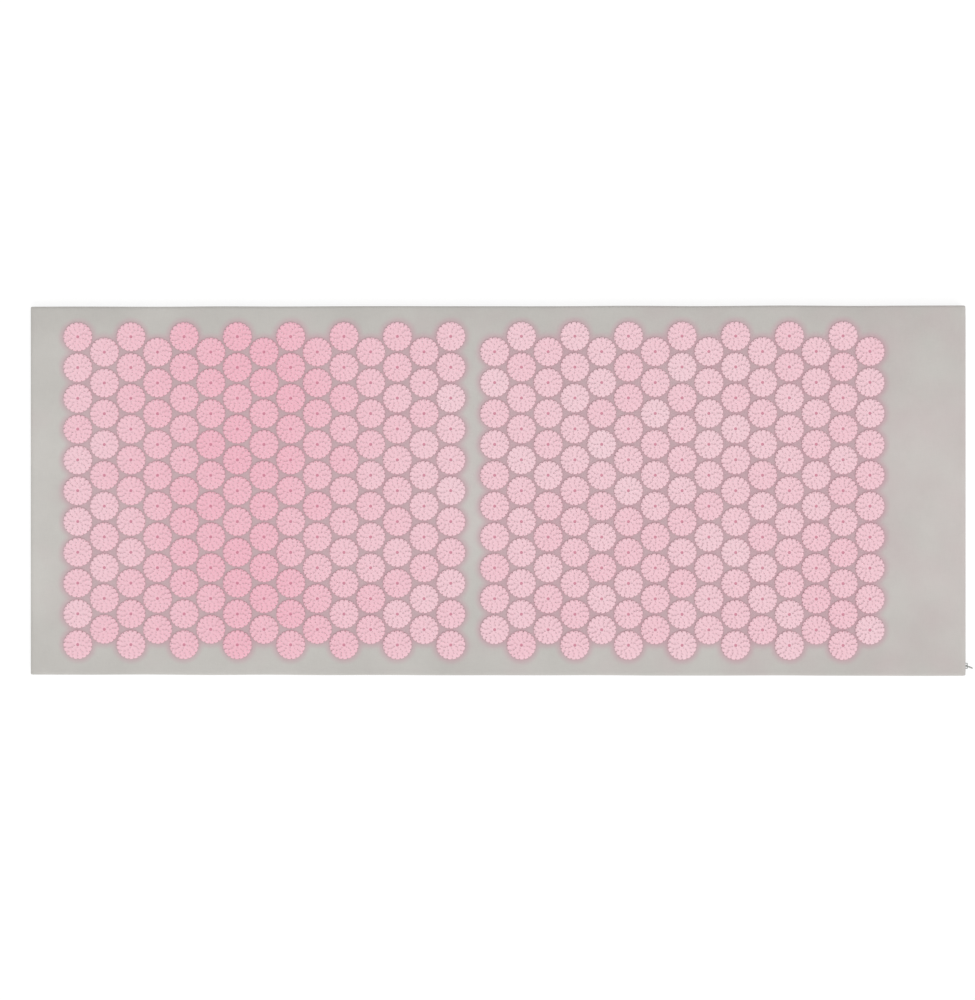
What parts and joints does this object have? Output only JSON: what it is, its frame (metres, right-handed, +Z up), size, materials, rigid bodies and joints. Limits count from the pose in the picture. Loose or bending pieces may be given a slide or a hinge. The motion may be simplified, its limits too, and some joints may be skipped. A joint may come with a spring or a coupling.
{
  "type": "acupressure mat",
  "caption": "Full-length foam acupressure mat with spiked plastic discs on a zipped cloth cover, which folds in half across a bare strip.",
  "frame": {"origin": "middle of the mat's length and width, on the underside that lies on the floor", "axes": "+X along the length towards the zipped end, +Y across the width, +Z up through the discs"},
  "size_m": [1.2912, 0.506, 0.0283],
  "materials": {
    "cover_cloth": "plain woven grey cloth",
    "disc_plastic": "satin moulded plastic",
    "foam": "open-cell foam",
    "zip_tape": "woven tape",
    "zip_nylon": "satin nylon",
    "zip_metal": "grey painted metal"
  },
  "bodies": {
    "left_half": {"cover_top_left": "cover_cloth", "cover_bottom_left": "cover_cloth", "foam_left": "foam", "discs_left_01": "disc_plastic", "discs_left_02": "disc_plastic", "discs_left_03": "disc_plastic", "discs_left_04": "disc_plastic", "discs_left_05": "disc_plastic", "discs_left_06": "disc_plastic", "discs_left_07": "disc_plastic", "discs_left_08": "disc_plastic", "discs_left_09": "disc_plastic", "discs_left_10": "disc_plastic", "discs_left_11": "disc_plastic", "discs_left_12": "disc_plastic", "discs_left_13": "disc_plastic", "discs_left_14": "disc_plastic", "discs_left_15": "disc_plastic"},
    "fold_strip": {"cover_top_strip": "cover_cloth", "cover_bottom_strip": "cover_cloth", "foam_strip": "foam"},
    "right_half": {"cover_top_right": "cover_cloth", "cover_bottom_right": "cover_cloth", "foam_right": "foam", "discs_right_01": "disc_plastic", "discs_right_02": "disc_plastic", "discs_right_03": "disc_plastic", "discs_right_04": "disc_plastic", "discs_right_05": "disc_plastic", "discs_right_06": "disc_plastic", "discs_right_07": "disc_plastic", "discs_right_08": "disc_plastic", "discs_right_09": "disc_plastic", "discs_right_10": "disc_plastic", "discs_right_11": "disc_plastic", "discs_right_12": "disc_plastic", "discs_right_13": "disc_plastic", "discs_right_14": "disc_plastic", "discs_right_15": "disc_plastic", "zip_tape_upper": "zip_tape", "zip_tape_lower": "zip_tape", "zip_teeth_upper": "zip_nylon", "zip_teeth_lower": "zip_nylon", "zip_front_stop_upper": "zip_metal", "zip_front_stop_lower": "zip_metal", "zip_back_stop": "zip_metal"},
    "zip_slider": {"zip_slider": "zip_metal"},
    "pull_tab": {"zip_pull_tab": "zip_metal"}
  },
  "joints": [
    {"name": "fold_left", "type": "hinge", "parent": "left_half", "child": "fold_strip", "pos_m": [-0.0395, 0, 0.022], "axis": [0, -1, 0], "range_deg": [0, 90]},
    {"name": "fold_right", "type": "hinge", "parent": "fold_strip", "child": "right_half", "pos_m": [-0.0255, 0, 0.022], "axis": [0, -1, 0], "range_deg": [0, 90]},
    {"name": "zip_travel", "type": "slide", "parent": "right_half", "child": "zip_slider", "axis": [0, 1, 0], "range_m": [0, 0.473]},
    {"name": "pull_swing", "type": "hinge", "parent": "zip_slider", "child": "pull_tab", "pos_m": [0.64195, -0.2395, 0.011], "axis": [0, 0, 1], "range_deg": [-60, 100]}
  ],
  "couplings": [
    {"joint": "fold_right", "follows": "fold_left", "ratio": 1}
  ]
}
